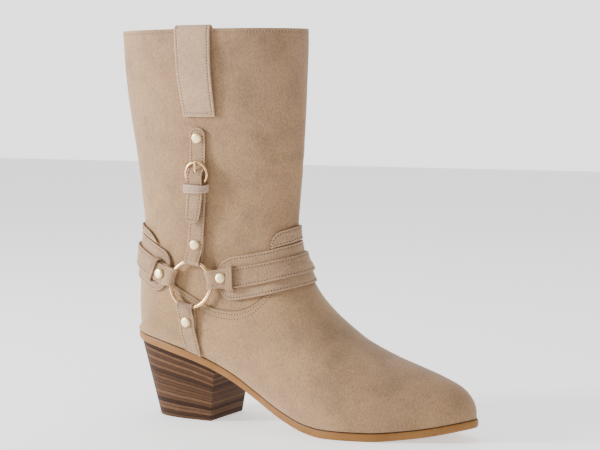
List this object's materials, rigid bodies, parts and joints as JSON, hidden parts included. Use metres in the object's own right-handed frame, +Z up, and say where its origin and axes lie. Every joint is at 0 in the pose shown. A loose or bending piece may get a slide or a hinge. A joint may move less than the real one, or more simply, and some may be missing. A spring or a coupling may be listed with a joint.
{
  "type": "harness boot",
  "caption": "Right heeled mid-calf boot: hollow suede upper with a ring harness, a buckled side strap, a pull strap, a thin sole and a stacked block heel.",
  "frame": {"origin": "centre of the heel's tread, on the floor", "axes": "+X towards the toe, +Y towards the wearer's other foot (inner side), +Z up; the outer side with the ring faces -Y"},
  "size_m": [0.2808, 0.0859, 0.2825],
  "materials": {
    "suede": "matt suede",
    "pale_suede": "matt suede",
    "sole": "smooth tan edge",
    "heel": "stacked, dark brown",
    "lining": "smooth",
    "metal": "pale gold, polished"
  },
  "bodies": {
    "boot": {"upper": "suede", "outsole": "sole", "heel": "heel", "insole": "lining", "pull_strap": "suede", "backing_strap": "suede", "harness_strap": "suede", "front_patch": "suede", "rear_patch": "suede", "front_keeper": "suede", "rear_keeper": "suede", "bottom_strap": "suede", "lower_buckle_strap": "suede", "upper_buckle_strap": "suede", "buckle_keeper": "pale_suede", "buckle": "metal", "prong": "metal", "front_rivet": "metal", "rear_rivet": "metal", "bottom_rivet": "metal", "loop_rivet": "metal", "top_rivet": "metal"},
    "ring": {"ring": "metal"}
  },
  "joints": [
    {"name": "ring_turn", "type": "hinge", "parent": "boot", "child": "ring", "pos_m": [0.0185, -0.03611, 0.09913], "axis": [0.0323, -0.9951, 0.0939], "continuous": true}
  ]
}
